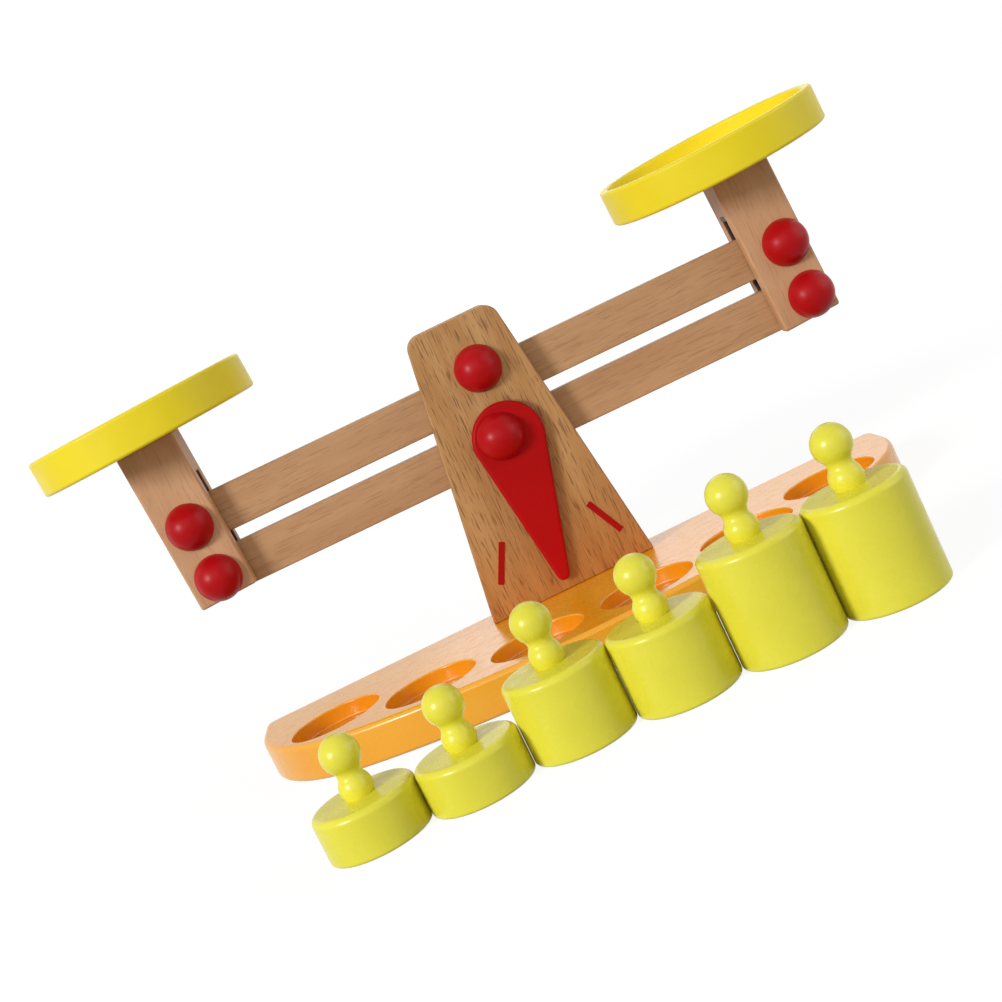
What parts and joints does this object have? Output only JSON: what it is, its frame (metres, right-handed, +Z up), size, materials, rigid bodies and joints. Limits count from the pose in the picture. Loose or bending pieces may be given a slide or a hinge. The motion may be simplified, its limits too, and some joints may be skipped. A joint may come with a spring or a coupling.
{
  "type": "balance scale toy",
  "caption": "Wooden toy balance: bowed base with sockets, upright with pointer, parallel rocking beams, round pans on forked posts, and knobbed weights in graded heights.",
  "frame": {"origin": "on the table, under the plane of the beams, at the middle of the upright's foot", "axes": "+X to the right along the beams, +Y to the back, +Z up"},
  "size_m": [0.3855, 0.264, 0.177],
  "materials": {
    "beech": "oiled beech with fine flecks, satin",
    "orange_lacquer": "glossy orange lacquer on wood",
    "yellow_lacquer": "glossy yellow lacquer on wood",
    "lime_lacquer": "glossy yellow-green lacquer on wood",
    "red_lacquer": "glossy red lacquer on wood",
    "zinc_steel": "zinc-plated screw"
  },
  "bodies": {
    "stand": {"base": "orange_lacquer", "front_panel": "beech", "back_panel": "beech", "panel_spacer": "beech", "base_screws": "zinc_steel", "guide_pin": "beech", "guide_front_cap": "red_lacquer", "guide_back_cap": "red_lacquer", "left_tick": "red_lacquer", "right_tick": "red_lacquer"},
    "lower_beam": {"lower_beam": "beech", "pivot_axle": "beech", "pointer": "red_lacquer", "pointer_cap": "red_lacquer", "axle_back_cap": "red_lacquer"},
    "upper_beam": {"upper_beam": "beech"},
    "left_carrier": {"left_post": "beech", "left_pan": "yellow_lacquer", "left_pan_dowel": "beech", "left_upper_pin": "beech", "left_lower_pin": "beech", "left_upper_front_cap": "red_lacquer", "left_upper_back_cap": "red_lacquer", "left_lower_front_cap": "red_lacquer", "left_lower_back_cap": "red_lacquer"},
    "right_carrier": {"right_post": "beech", "right_pan": "yellow_lacquer", "right_pan_dowel": "beech", "right_upper_pin": "beech", "right_lower_pin": "beech", "right_upper_front_cap": "red_lacquer", "right_upper_back_cap": "red_lacquer", "right_lower_front_cap": "red_lacquer", "right_lower_back_cap": "red_lacquer"},
    "weight_1": {"weight_1_body": "lime_lacquer", "weight_1_knob": "lime_lacquer"},
    "weight_2": {"weight_2_body": "lime_lacquer", "weight_2_knob": "lime_lacquer"},
    "weight_3": {"weight_3_body": "lime_lacquer", "weight_3_knob": "lime_lacquer"},
    "weight_4": {"weight_4_body": "lime_lacquer", "weight_4_knob": "lime_lacquer"},
    "weight_5": {"weight_5_body": "lime_lacquer", "weight_5_knob": "lime_lacquer"},
    "weight_6": {"weight_6_body": "lime_lacquer", "weight_6_knob": "lime_lacquer"}
  },
  "joints": [
    {"name": "beam_rock", "type": "hinge", "parent": "stand", "child": "lower_beam", "pos_m": [0.0055, 0, 0.092], "axis": [0, 1, 0], "range_deg": [-22.5, 22.5]},
    {"name": "left_post_pivot", "type": "hinge", "parent": "lower_beam", "child": "left_carrier", "pos_m": [-0.14101, 0, 0.09107], "axis": [0, 1, 0], "range_deg": [-22.5, 22.5]},
    {"name": "right_post_pivot", "type": "hinge", "parent": "lower_beam", "child": "right_carrier", "pos_m": [0.15199, 0, 0.08953], "axis": [0, 1, 0], "range_deg": [-22.5, 22.5]},
    {"name": "upper_beam_pivot", "type": "hinge", "parent": "left_carrier", "child": "upper_beam", "pos_m": [-0.14222, 0, 0.11684], "axis": [0, 1, 0], "range_deg": [-22.5, 22.5]},
    {"name": "weight_1_lift", "type": "slide", "parent": "stand", "child": "weight_1", "axis": [0, 0, 1], "range_m": [0, 0.2]},
    {"name": "weight_2_lift", "type": "slide", "parent": "stand", "child": "weight_2", "axis": [0, 0, 1], "range_m": [0, 0.2]},
    {"name": "weight_3_lift", "type": "slide", "parent": "stand", "child": "weight_3", "axis": [0, 0, 1], "range_m": [0, 0.2]},
    {"name": "weight_4_lift", "type": "slide", "parent": "stand", "child": "weight_4", "axis": [0, 0, 1], "range_m": [0, 0.2]},
    {"name": "weight_5_lift", "type": "slide", "parent": "stand", "child": "weight_5", "axis": [0, 0, 1], "range_m": [0, 0.2]},
    {"name": "weight_6_lift", "type": "slide", "parent": "stand", "child": "weight_6", "axis": [0, 0, 1], "range_m": [0, 0.2]}
  ],
  "couplings": [
    {"joint": "left_post_pivot", "follows": "beam_rock", "ratio": -1},
    {"joint": "right_post_pivot", "follows": "beam_rock", "ratio": -1},
    {"joint": "upper_beam_pivot", "follows": "beam_rock", "ratio": 1}
  ]
}
